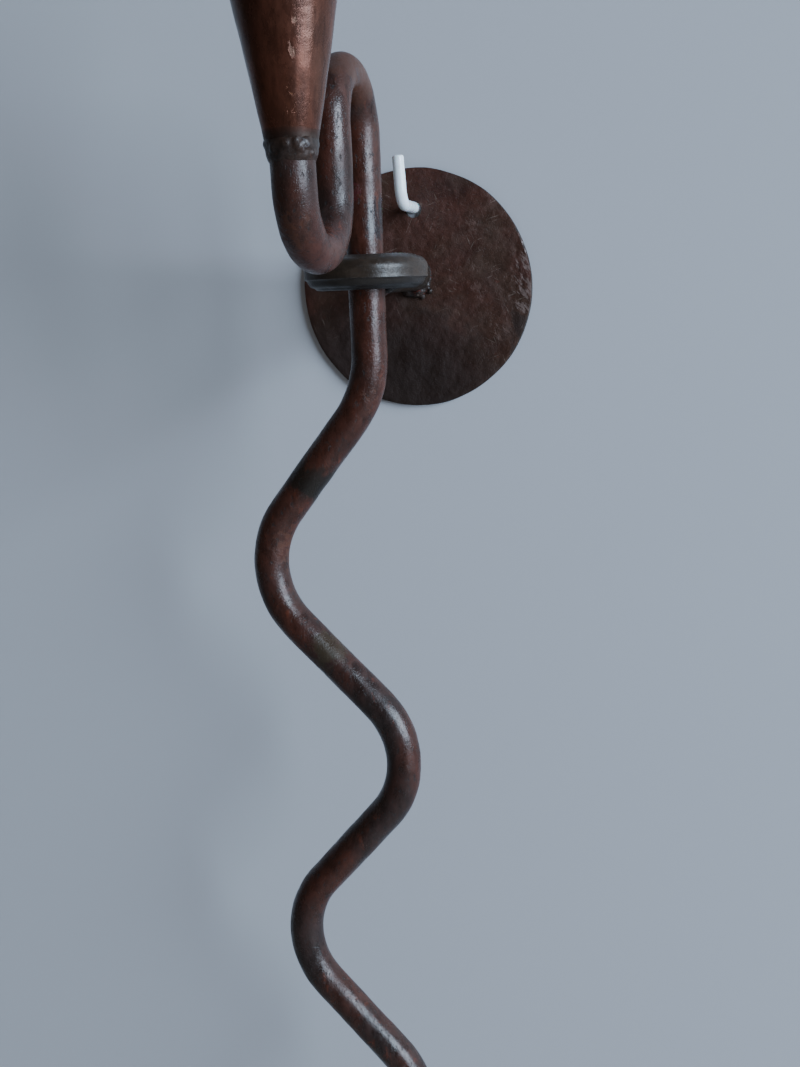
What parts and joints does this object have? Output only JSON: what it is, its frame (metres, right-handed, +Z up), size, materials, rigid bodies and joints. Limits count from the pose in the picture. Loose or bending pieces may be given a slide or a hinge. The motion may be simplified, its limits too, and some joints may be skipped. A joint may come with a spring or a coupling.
{
  "type": "wall candle holder",
  "caption": "Forged wall candle holder: a waved round bar with a cone cup for the candle turns in a ring on a round wall plate, which hangs on a coated screw hook.",
  "frame": {"origin": "on the wall's face, on the axis of the hook's screw", "axes": "+Z up, +Y into the wall, so the holder stands out towards -Y; +X to the right as seen from the room"},
  "size_m": [0.088, 0.1895, 0.6148],
  "materials": {
    "plate_metal": "hammered iron sheet, dark red-brown patina, waxed",
    "bar_metal": "forged round bar, red-brown and dark patches, satin wax",
    "ring_metal": "forged round bar, grey-brown, satin wax",
    "weld_metal": "lumpy weld bead, dark brown, satin",
    "cone_metal": "rolled iron sheet, coppery brown patina, satin",
    "hook_steel": "zinc-plated steel wire",
    "hook_coating": "white dipped plastic coating, semi-gloss"
  },
  "bodies": {
    "hook": {"hook_wire": "hook_steel", "hook_sleeve": "hook_coating"},
    "bracket": {"wall_plate": "plate_metal", "support_arm": "ring_metal", "support_ring": "ring_metal", "arm_weld": "weld_metal", "ring_weld": "weld_metal"},
    "stem": {"stem": "bar_metal", "rest_pin": "ring_metal", "neck_collar": "weld_metal", "candle_cone": "cone_metal"}
  },
  "joints": [
    {"name": "plate_swing", "type": "hinge", "parent": "hook", "child": "bracket", "pos_m": [0, 0, 0], "axis": [0, 1, 0], "range_deg": [-30, 30]},
    {"name": "stem_swivel", "type": "hinge", "parent": "bracket", "child": "stem", "pos_m": [0, -0.073, -0.0247], "axis": [0, 0, 1], "range_deg": [-130, 130]}
  ]
}
